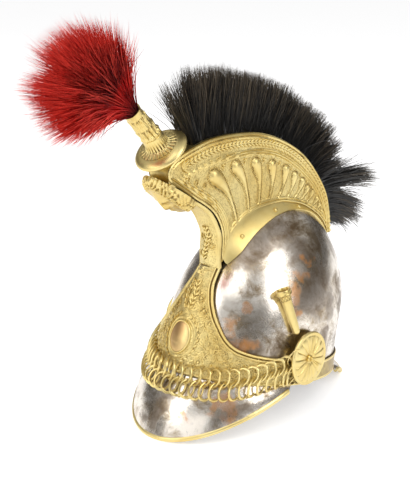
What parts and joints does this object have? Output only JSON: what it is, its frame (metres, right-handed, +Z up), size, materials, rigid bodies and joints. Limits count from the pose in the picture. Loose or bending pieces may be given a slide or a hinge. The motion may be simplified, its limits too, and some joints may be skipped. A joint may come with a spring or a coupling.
{
  "type": "cuirassier helmet",
  "caption": "Steel cavalry helmet with embossed brass front plate, tall brass crest with horsehair brush, red tuft, rosettes and chin chain.",
  "frame": {"origin": "point of the resting plane under the middle of the head opening", "axes": "+X to the wearer's left, +Y to the back of the head, +Z up from the resting plane; the helmet stands tipped back on its visor and neck guard"},
  "size_m": [0.1946, 0.4593, 0.4112],
  "materials": {
    "steel": "polished steel, tarnished silver-grey with brown and copper stains",
    "brass": "pale gold-yellow cast and embossed brass, darker in the recesses",
    "tuft_red": "dyed red hair, near black at the roots",
    "horsehair_black": "coarse black horsehair with brownish strands"
  },
  "bodies": {
    "root": {"bomb": "steel", "visor": "steel", "visor_rim": "brass", "neck_guard": "steel", "neck_guard_rim": "brass", "front_plate": "brass", "rear_band": "brass", "crest_left": "brass", "crest_right": "brass", "crest_top": "brass", "crest_neck": "brass", "mask": "brass", "plume_disc": "brass", "plume_socket": "brass", "plume": "tuft_red", "brush": "horsehair_black", "rosette_left": "brass", "rosette_right": "brass", "chin_chain": "brass", "side_socket": "brass", "strip_screw_left_1": "brass", "strip_screw_right_1": "brass", "strip_screw_left_2": "brass", "strip_screw_right_2": "brass", "strip_screw_left_3": "brass", "strip_screw_right_3": "brass"}
  },
  "joints": []
}
